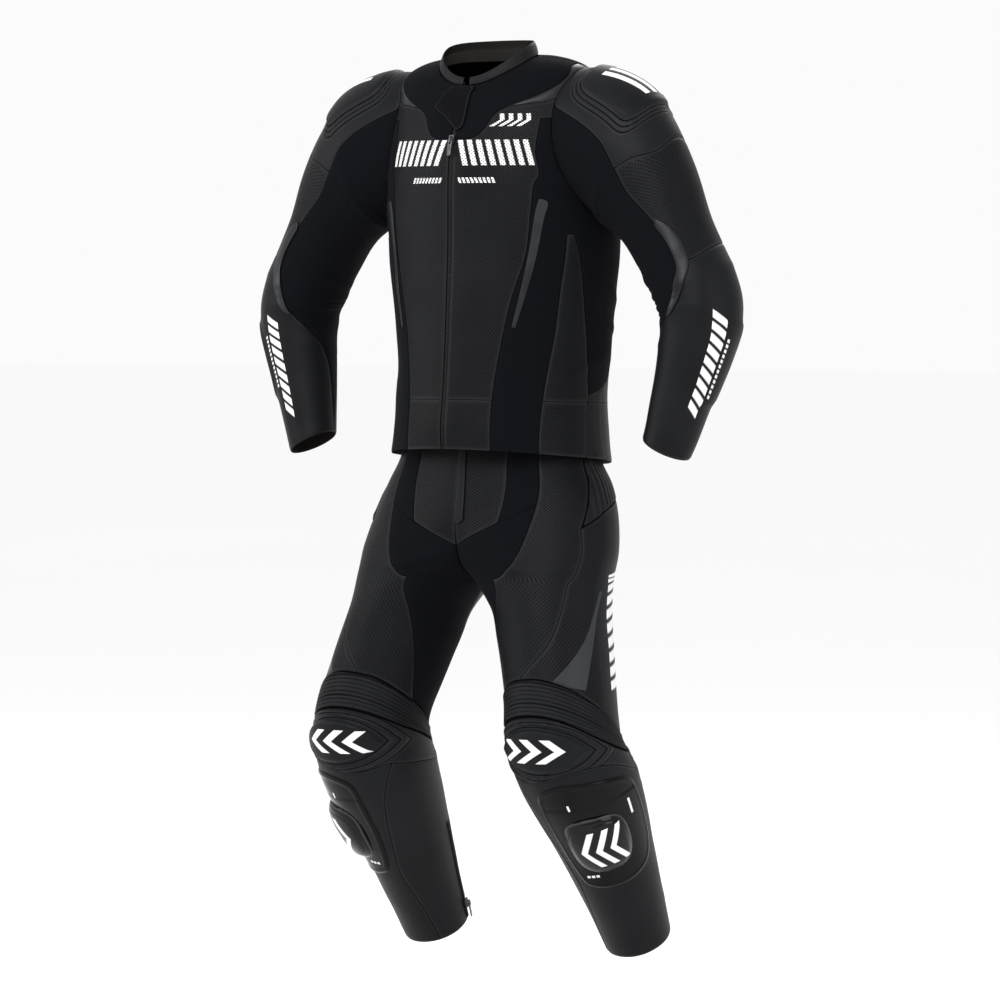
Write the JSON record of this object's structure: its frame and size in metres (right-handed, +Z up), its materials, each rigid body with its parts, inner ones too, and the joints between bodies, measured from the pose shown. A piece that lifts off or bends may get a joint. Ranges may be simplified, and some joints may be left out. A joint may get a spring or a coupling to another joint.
{
  "type": "motorcycle race suit",
  "caption": "Two-piece leather motorcycle race suit, filled out as worn: zipped jacket over trousers, stretch panels, ribbed knees and knee sliders.",
  "frame": {"origin": "base of the neck, where the wearer's shoulders carry the suit", "axes": "+Z up, -Y to the wearer's front, +X to the wearer's left"},
  "size_m": [0.8532, 0.3309, 1.3821],
  "materials": {
    "leather": "semi-matt black leather, partly perforated",
    "stretch": "matt black stretch fabric",
    "satin": "satin grey accent leather",
    "collar_leather": "soft black leather",
    "gloss": "glossy black plastic",
    "zip_tape": "black zip tape with moulded teeth",
    "zip_metal": "dark painted metal"
  },
  "bodies": {
    "suit": {"jacket_chest_left": "leather", "jacket_chest_right": "leather", "jacket_side_insert_left": "leather", "jacket_side_insert_right": "leather", "jacket_back": "leather", "jacket_throat_flap": "leather", "sleeve_shoulder_left": "leather", "sleeve_shoulder_right": "leather", "sleeve_upper_left": "leather", "sleeve_upper_right": "leather", "sleeve_forearm_left": "leather", "sleeve_forearm_right": "leather", "trouser_rise_left": "leather", "trouser_rise_right": "leather", "trouser_thigh_front_left": "leather", "trouser_thigh_front_right": "leather", "trouser_hip_ribs_left": "leather", "trouser_hip_ribs_right": "leather", "trouser_thigh_outer_left": "leather", "trouser_thigh_outer_right": "leather", "trouser_seat_left": "leather", "trouser_seat_right": "leather", "trouser_knee_ribs_left": "leather", "trouser_knee_ribs_right": "leather", "trouser_knee_left": "leather", "trouser_knee_right": "leather", "trouser_shin_left": "leather", "trouser_shin_right": "leather", "trouser_calf_left": "leather", "trouser_calf_right": "leather", "jacket_yoke_left": "stretch", "jacket_yoke_right": "stretch", "jacket_side_stretch_left": "stretch", "jacket_side_stretch_right": "stretch", "jacket_back_yoke": "stretch", "sleeve_inner_stretch_left": "stretch", "sleeve_inner_stretch_right": "stretch", "trouser_inner_stretch_left": "stretch", "trouser_inner_stretch_right": "stretch", "jacket_yoke_accent_left": "satin", "jacket_yoke_accent_right": "satin", "jacket_side_accent_left": "satin", "jacket_side_accent_right": "satin", "sleeve_elbow_accent_left": "satin", "sleeve_elbow_accent_right": "satin", "jacket_collar": "collar_leather", "slider_patch_left": "gloss", "slider_patch_right": "gloss", "slider_puck_left": "gloss", "slider_puck_right": "gloss", "jacket_front_zip": "zip_tape", "trouser_fly": "zip_tape", "ankle_zip_left": "zip_tape", "ankle_zip_right": "zip_tape", "front_zip_slider": "zip_metal", "ankle_zip_left_slider": "zip_metal", "ankle_zip_right_slider": "zip_metal"},
    "front_pull": {"front_zip_pull": "zip_metal"},
    "ankle_pull_left": {"ankle_zip_left_pull": "zip_metal"},
    "ankle_pull_right": {"ankle_zip_right_pull": "zip_metal"}
  },
  "joints": [
    {"name": "front_pull_lift", "type": "hinge", "parent": "suit", "child": "front_pull", "pos_m": [0, -0.08647, -0.10682], "axis": [-1, 0, 0], "range_deg": [0, 150]},
    {"name": "ankle_pull_left_lift", "type": "hinge", "parent": "suit", "child": "ankle_pull_left", "pos_m": [0.12818, 0.15068, -1.27518], "axis": [0.3356, 0.8229, 0.4585], "range_deg": [0, 150]},
    {"name": "ankle_pull_right_lift", "type": "hinge", "parent": "suit", "child": "ankle_pull_right", "pos_m": [-0.12818, 0.15068, -1.27518], "axis": [0.3356, -0.8229, -0.4585], "range_deg": [0, 150]}
  ]
}
